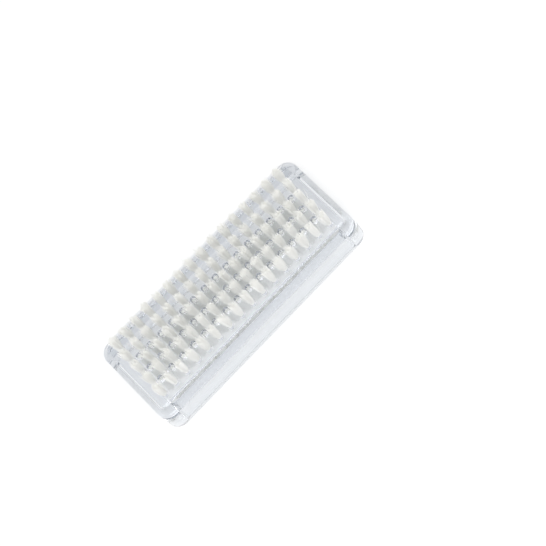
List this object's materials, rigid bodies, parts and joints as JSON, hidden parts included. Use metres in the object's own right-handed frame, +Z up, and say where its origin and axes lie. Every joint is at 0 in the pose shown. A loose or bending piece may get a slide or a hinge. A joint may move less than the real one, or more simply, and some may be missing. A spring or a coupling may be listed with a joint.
{
  "type": "nail brush",
  "caption": "Two-sided hand-held nail brush: clear block with long bristle tufts on one face and short tufts in a walled tray on the other.",
  "frame": {"origin": "middle of the rim plane that the brush stands on, under the middle of the block", "axes": "+X along the block, +Y across it, +Z up from the tray rim towards the tips of the long tufts"},
  "size_m": [0.09, 0.037, 0.0217],
  "materials": {
    "clear_plastic": "clear moulded plastic, polished",
    "bristle": "off-white nylon filament, trimmed ends",
    "anchor_metal": "flat drawn wire"
  },
  "bodies": {
    "root": {"clear_body": "clear_plastic", "long_tufts_row_01": "bristle", "long_tufts_row_02": "bristle", "long_tufts_row_03": "bristle", "long_tufts_row_04": "bristle", "long_tufts_row_05": "bristle", "long_tufts_row_06": "bristle", "long_tufts_row_07": "bristle", "long_tufts_row_08": "bristle", "long_tufts_row_09": "bristle", "long_tufts_row_10": "bristle", "long_tufts_row_11": "bristle", "long_tufts_row_12": "bristle", "long_tufts_row_13": "bristle", "long_tufts_row_14": "bristle", "long_tufts_row_15": "bristle", "long_tufts_row_16": "bristle", "short_tufts_row_01": "bristle", "short_tufts_row_02": "bristle", "short_tufts_row_03": "bristle", "short_tufts_row_04": "bristle", "short_tufts_row_05": "bristle", "short_tufts_row_06": "bristle", "short_tufts_row_07": "bristle", "short_tufts_row_08": "bristle", "short_tufts_row_09": "bristle", "short_tufts_row_10": "bristle", "short_tufts_row_11": "bristle", "short_tufts_row_12": "bristle", "short_tufts_row_13": "bristle", "short_tufts_row_14": "bristle", "short_tufts_row_15": "bristle", "long_anchors_column_1": "anchor_metal", "long_anchors_column_2": "anchor_metal", "long_anchors_column_3": "anchor_metal", "long_anchors_column_4": "anchor_metal", "long_anchors_column_5": "anchor_metal", "short_anchors_column_1": "anchor_metal", "short_anchors_column_2": "anchor_metal", "short_anchors_column_3": "anchor_metal"}
  },
  "joints": []
}
